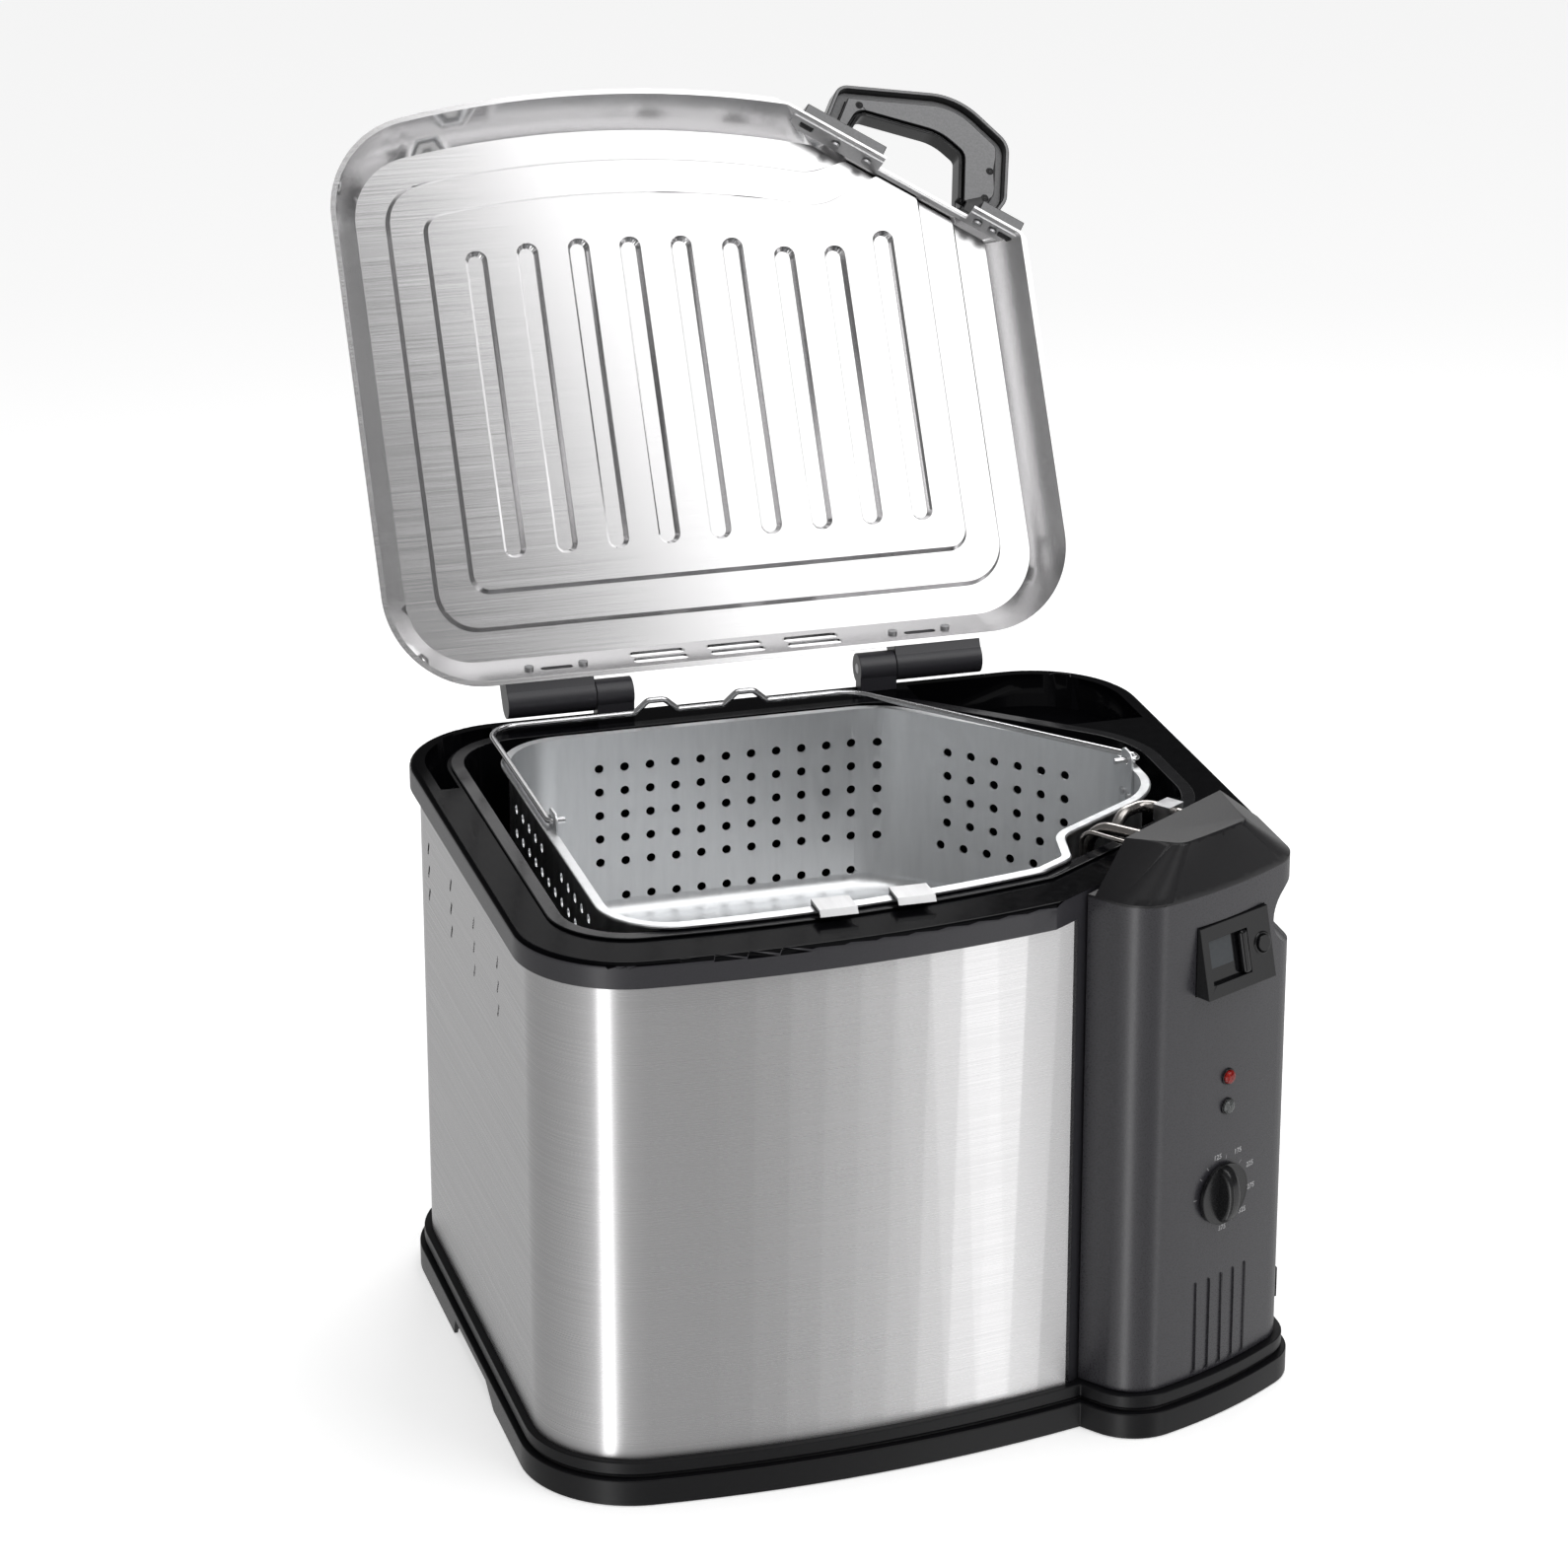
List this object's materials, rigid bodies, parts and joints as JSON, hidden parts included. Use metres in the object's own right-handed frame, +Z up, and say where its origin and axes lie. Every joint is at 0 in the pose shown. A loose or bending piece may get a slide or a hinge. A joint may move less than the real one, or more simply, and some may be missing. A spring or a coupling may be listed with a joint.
{
  "type": "deep fryer",
  "caption": "Electric deep fryer with a brushed steel body, hinged ribbed lid, lift-out oil pot, perforated fry basket with a bail, and a plug-in control tower with heating element.",
  "frame": {"origin": "on the floor under the middle of the steel body, in the plane of the rubber feet", "axes": "+X to the right side, -Y to the front, +Z up"},
  "size_m": [0.4402, 0.5734, 0.6388],
  "materials": {
    "rim_plastic": "fine-grained",
    "rubber": "matt",
    "zinc_steel": "zinc-plated",
    "brushed_steel": "brushed stainless steel",
    "black_enamel": "glossy enamel",
    "tower_plastic": "fine-grained grey",
    "black_plastic": "plain",
    "red_lens": "clear red",
    "clear_lens": "clear",
    "element_steel": "satin tube",
    "gloss_black": "glossy",
    "lcd_glass": "clear",
    "cell_steel": "polished",
    "basket_steel": "satin sheet steel",
    "bright_steel": "polished",
    "lid_steel": "brushed stainless steel"
  },
  "bodies": {
    "base": {"base_tray": "rim_plastic", "rubber_feet": "rubber", "base_screws": "zinc_steel", "body_shell": "brushed_steel", "shell_liner": "zinc_steel", "dock_strip": "rim_plastic", "top_rim": "rim_plastic", "hinge_knuckle_left": "rim_plastic", "hinge_knuckle_right": "rim_plastic", "hinge_pin_left": "zinc_steel", "hinge_pin_right": "zinc_steel"},
    "pot": {"oil_pot": "black_enamel"},
    "controls": {"control_housing": "tower_plastic", "control_rear_cover": "black_plastic", "control_cap": "rim_plastic", "control_screws": "zinc_steel", "timer_bay": "black_plastic", "power_lens": "red_lens", "ready_lens": "clear_lens", "indicator_lamps": "clear_lens", "thermostat": "black_plastic", "limit_thermostat": "black_plastic", "terminal_block": "black_plastic", "cord_inlet": "black_plastic", "heating_element": "element_steel", "element_clamp": "zinc_steel", "element_supports": "zinc_steel", "sensor_probe": "element_steel"},
    "knob": {"temperature_knob": "gloss_black", "thermostat_shaft": "zinc_steel"},
    "timer": {"timer_case": "gloss_black", "timer_lens": "lcd_glass", "battery_door": "black_plastic", "coin_cell": "cell_steel"},
    "timer_key": {"timer_button": "gloss_black"},
    "basket": {"fry_basket": "basket_steel", "bail_ear_left": "basket_steel", "bail_ear_right": "basket_steel", "ear_rivets": "bright_steel", "basket_hooks": "basket_steel"},
    "bail": {"bail_handle": "bright_steel"},
    "lid": {"lid_panel": "lid_steel", "handle_bracket": "lid_steel", "lid_handle": "black_plastic", "handle_screws": "zinc_steel", "hinge_barrel_left": "rim_plastic", "hinge_barrel_right": "rim_plastic", "lid_hinge_screws": "zinc_steel"}
  },
  "joints": [
    {"name": "lid_hinge", "type": "hinge", "parent": "base", "child": "lid", "pos_m": [0, 0.179, 0.3257], "axis": [-1, 0, 0], "range_deg": [-119.6, 0]},
    {"name": "pot_lift", "type": "slide", "parent": "base", "child": "pot", "axis": [0, 0, 1], "range_m": [0, 0.18]},
    {"name": "controls_lift", "type": "slide", "parent": "pot", "child": "controls", "axis": [0, 0, 1], "range_m": [0, 0.2]},
    {"name": "basket_lift", "type": "slide", "parent": "controls", "child": "basket", "axis": [0, 0, 1], "range_m": [0, 0.13]},
    {"name": "bail_pivot", "type": "hinge", "parent": "basket", "child": "bail", "pos_m": [0, 0.005, 0.321], "axis": [1, 0, 0], "range_deg": [0, 100]},
    {"name": "knob_turn", "type": "hinge", "parent": "controls", "child": "knob", "pos_m": [0.16726, -0.16334, 0.131], "axis": [0.4462, -0.8949, 0], "range_deg": [-170, 83]},
    {"name": "timer_slide", "type": "slide", "parent": "controls", "child": "timer", "axis": [0.4462, -0.8949, 0], "range_m": [0, 0.02]},
    {"name": "timer_key_press", "type": "slide", "parent": "timer", "child": "timer_key", "axis": [-0.4364, 0.8754, -0.2079], "range_m": [0, 0.0012], "stiffness_N_per_m": 400, "springref_m": -0.0005}
  ]
}
